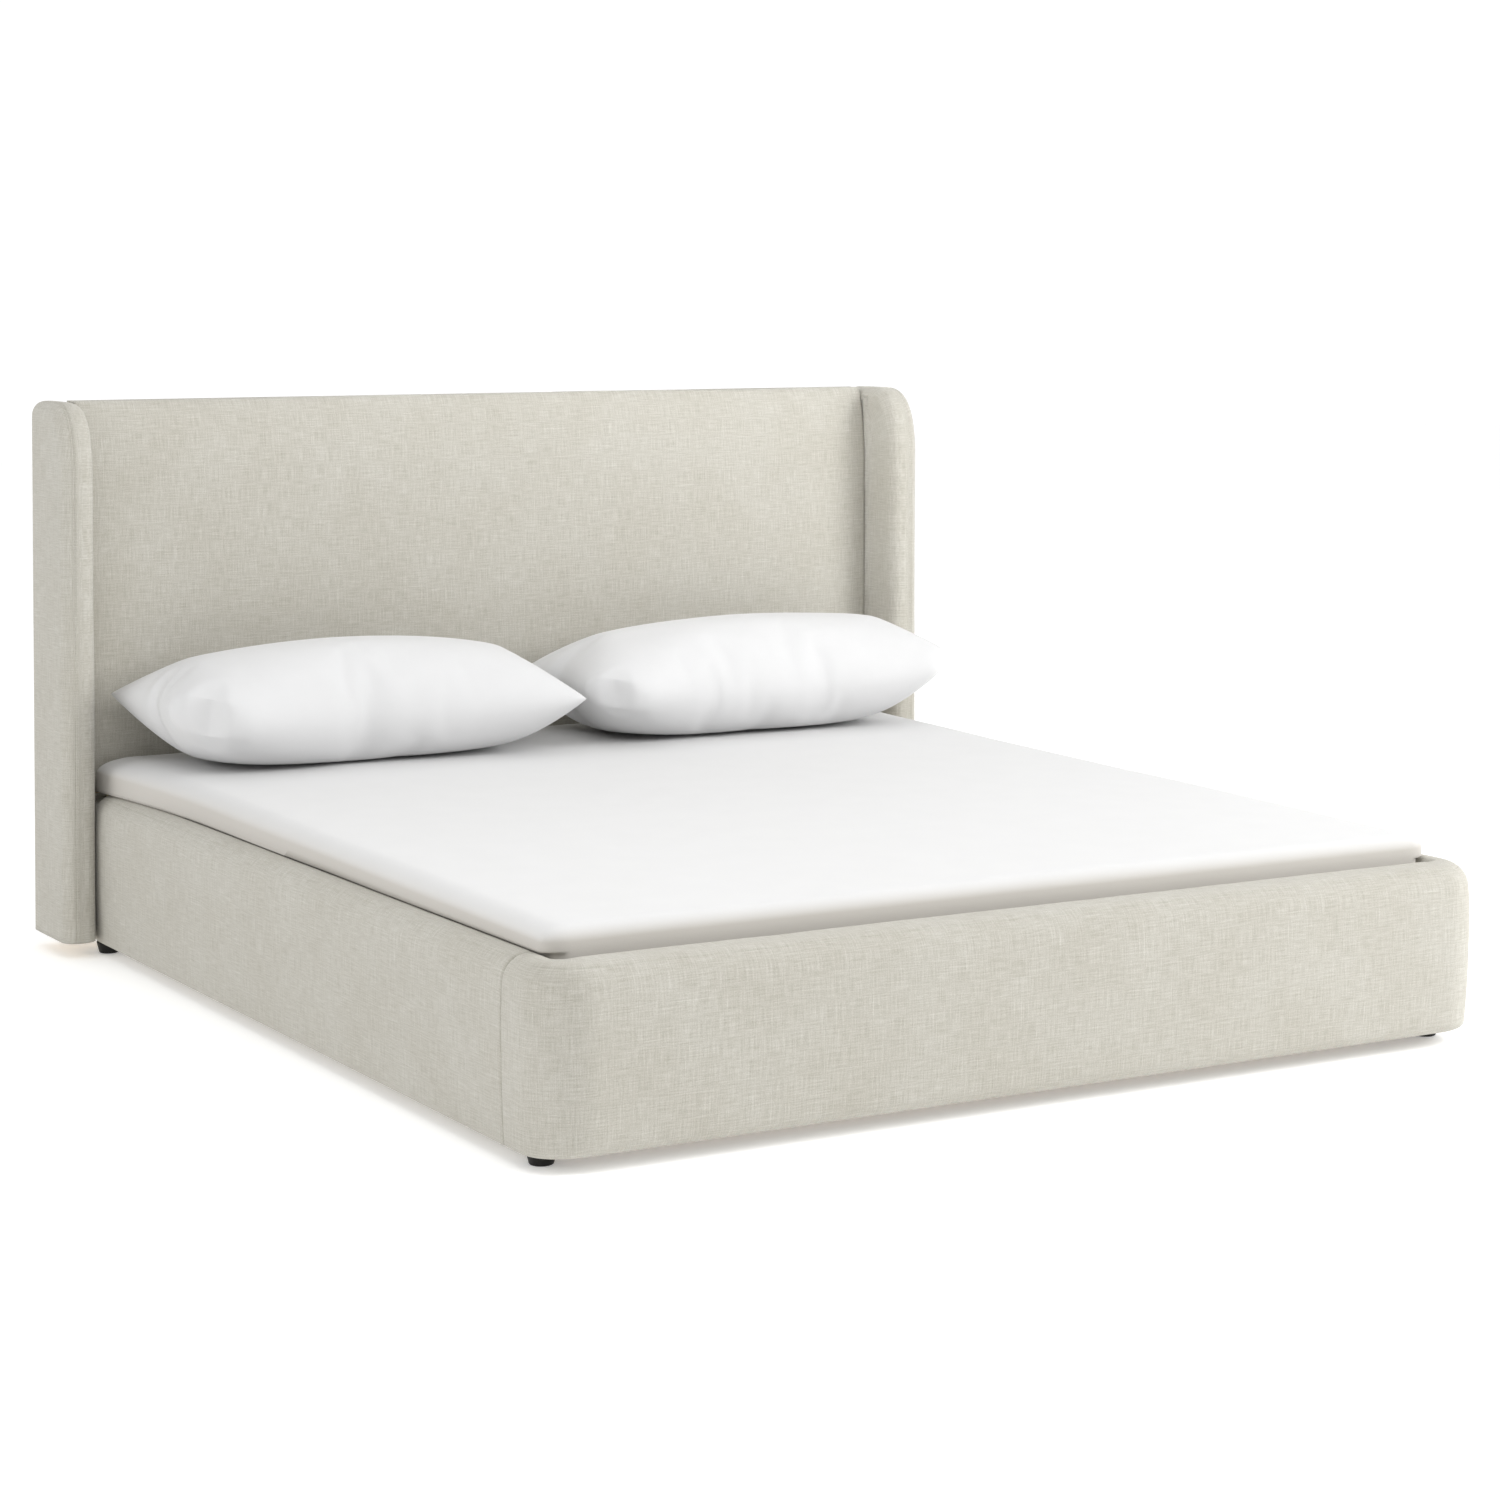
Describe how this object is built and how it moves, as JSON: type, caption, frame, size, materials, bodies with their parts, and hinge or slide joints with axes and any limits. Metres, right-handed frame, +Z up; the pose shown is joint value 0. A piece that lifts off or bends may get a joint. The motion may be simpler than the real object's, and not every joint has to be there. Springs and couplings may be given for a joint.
{
  "type": "upholstered bed",
  "caption": "Low upholstered bed with a padded winged headboard, wrap-round footboard, side rails, slatted base, mattress and pillows.",
  "frame": {"origin": "on the floor under the middle of the bed", "axes": "+Z up, +Y along the bed towards the headboard, +X to the right when looking at the headboard from the foot end"},
  "size_m": [2.11, 2.27, 1.16],
  "materials": {
    "oatmeal_linen": "woven linen-look upholstery, matt",
    "upholstery_foam": "foam, matt",
    "plywood": "raw sanded",
    "pine": "raw planed",
    "zinc_steel": "zinc plated",
    "black_plastic": "matt black",
    "white_mattress_cover": "smooth knitted cover, matt",
    "white_cotton": "fine cotton, matt"
  },
  "bodies": {
    "bed_frame": {"headboard_stile_left": "pine", "headboard_stile_right": "pine", "headboard_crossbar_top": "pine", "headboard_crossbar_middle": "pine", "headboard_crossbar_bottom": "pine", "headboard_base_rail": "pine", "headboard_board": "plywood", "headboard_foam": "upholstery_foam", "headboard_cover": "oatmeal_linen", "headboard_back_panel": "oatmeal_linen", "wing_core_left": "plywood", "wing_foam_left": "upholstery_foam", "wing_cover_left": "oatmeal_linen", "wing_core_right": "plywood", "wing_foam_right": "upholstery_foam", "wing_cover_right": "oatmeal_linen", "side_rail_board_left": "plywood", "side_rail_foam_left": "upholstery_foam", "side_rail_cover_left": "oatmeal_linen", "side_rail_board_right": "plywood", "side_rail_foam_right": "upholstery_foam", "side_rail_cover_right": "oatmeal_linen", "footboard_core": "plywood", "footboard_foam": "upholstery_foam", "footboard_cover": "oatmeal_linen", "slat_ledge_left": "pine", "slat_ledge_right": "pine", "centre_beam": "pine", "beam_hanger_head": "zinc_steel", "beam_hanger_foot": "zinc_steel", "centre_leg_front": "pine", "centre_leg_rear": "pine", "slat_01": "pine", "slat_02": "pine", "slat_03": "pine", "slat_04": "pine", "slat_05": "pine", "slat_06": "pine", "slat_07": "pine", "slat_08": "pine", "slat_09": "pine", "slat_10": "pine", "slat_11": "pine", "slat_12": "pine", "corner_bracket_foot_left": "zinc_steel", "corner_bracket_foot_right": "zinc_steel", "corner_bracket_head_left": "zinc_steel", "corner_bracket_head_right": "zinc_steel", "foot_front_left": "black_plastic", "foot_front_right": "black_plastic", "foot_rear_left": "black_plastic", "foot_rear_right": "black_plastic"},
    "mattress": {"mattress_core": "upholstery_foam", "mattress_cover": "white_mattress_cover"},
    "pillow_left": {"pillow_left": "white_cotton"},
    "pillow_right": {"pillow_right": "white_cotton"},
    "leveller_front": {"leveller_front": "black_plastic"},
    "leveller_rear": {"leveller_rear": "black_plastic"}
  },
  "joints": [
    {"name": "mattress_lift", "type": "slide", "parent": "bed_frame", "child": "mattress", "axis": [0, 0, 1], "range_m": [0, 0.4]},
    {"name": "pillow_left_lift", "type": "slide", "parent": "mattress", "child": "pillow_left", "axis": [0, 0, 1], "range_m": [0, 0.35]},
    {"name": "pillow_right_lift", "type": "slide", "parent": "mattress", "child": "pillow_right", "axis": [0, 0, 1], "range_m": [0, 0.35]},
    {"name": "leveller_front_screw", "type": "slide", "parent": "bed_frame", "child": "leveller_front", "axis": [0, 0, -1], "range_m": [0, 0.015]},
    {"name": "leveller_rear_screw", "type": "slide", "parent": "bed_frame", "child": "leveller_rear", "axis": [0, 0, -1], "range_m": [0, 0.015]}
  ]
}
